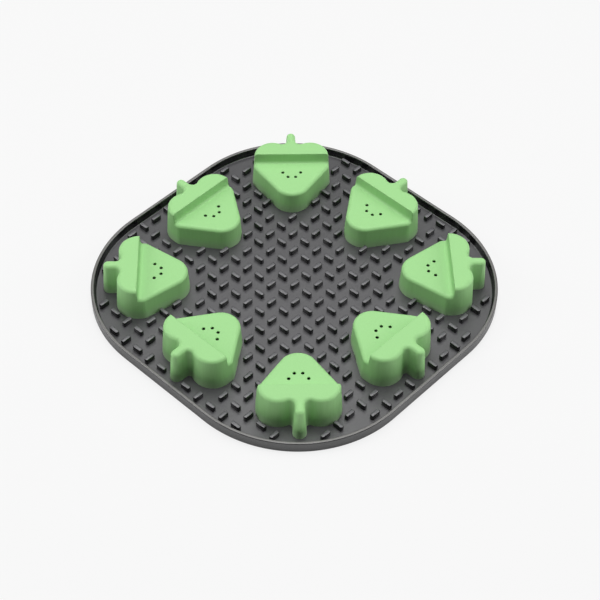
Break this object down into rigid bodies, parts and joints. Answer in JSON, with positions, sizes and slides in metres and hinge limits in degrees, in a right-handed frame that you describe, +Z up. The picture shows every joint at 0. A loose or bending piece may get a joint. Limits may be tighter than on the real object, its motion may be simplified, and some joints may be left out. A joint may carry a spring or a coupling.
{
  "type": "lick mat",
  "caption": "Square silicone lick mat with a low rim and a field of small nibs, and hollow strawberry-shaped treat caps that stand in a ring on it and lift off.",
  "frame": {"origin": "middle of the flat underside of the mat", "axes": "+Z up out of the mat, +X and +Y square to its sides; the cap numbered 1 stands towards +X and the numbers run counter-clockwise seen from above"},
  "size_m": [0.216, 0.216, 0.0238],
  "materials": {
    "mat_silicone": "satin",
    "cap_silicone": "matte"
  },
  "bodies": {
    "mat": {"mat_floor": "mat_silicone", "mat_rim": "mat_silicone", "nibs": "mat_silicone", "cap_seats": "mat_silicone"},
    "cap_1": {"strawberry_cap_1": "cap_silicone"},
    "cap_2": {"strawberry_cap_2": "cap_silicone"},
    "cap_3": {"strawberry_cap_3": "cap_silicone"},
    "cap_4": {"strawberry_cap_4": "cap_silicone"},
    "cap_5": {"strawberry_cap_5": "cap_silicone"},
    "cap_6": {"strawberry_cap_6": "cap_silicone"},
    "cap_7": {"strawberry_cap_7": "cap_silicone"},
    "cap_8": {"strawberry_cap_8": "cap_silicone"}
  },
  "joints": [
    {"name": "cap_1_lift", "type": "slide", "parent": "mat", "child": "cap_1", "axis": [0, 0, 1], "range_m": [0, 0.04]},
    {"name": "cap_2_lift", "type": "slide", "parent": "mat", "child": "cap_2", "axis": [0, 0, 1], "range_m": [0, 0.04]},
    {"name": "cap_3_lift", "type": "slide", "parent": "mat", "child": "cap_3", "axis": [0, 0, 1], "range_m": [0, 0.04]},
    {"name": "cap_4_lift", "type": "slide", "parent": "mat", "child": "cap_4", "axis": [0, 0, 1], "range_m": [0, 0.04]},
    {"name": "cap_5_lift", "type": "slide", "parent": "mat", "child": "cap_5", "axis": [0, 0, 1], "range_m": [0, 0.04]},
    {"name": "cap_6_lift", "type": "slide", "parent": "mat", "child": "cap_6", "axis": [0, 0, 1], "range_m": [0, 0.04]},
    {"name": "cap_7_lift", "type": "slide", "parent": "mat", "child": "cap_7", "axis": [0, 0, 1], "range_m": [0, 0.04]},
    {"name": "cap_8_lift", "type": "slide", "parent": "mat", "child": "cap_8", "axis": [0, 0, 1], "range_m": [0, 0.04]}
  ]
}
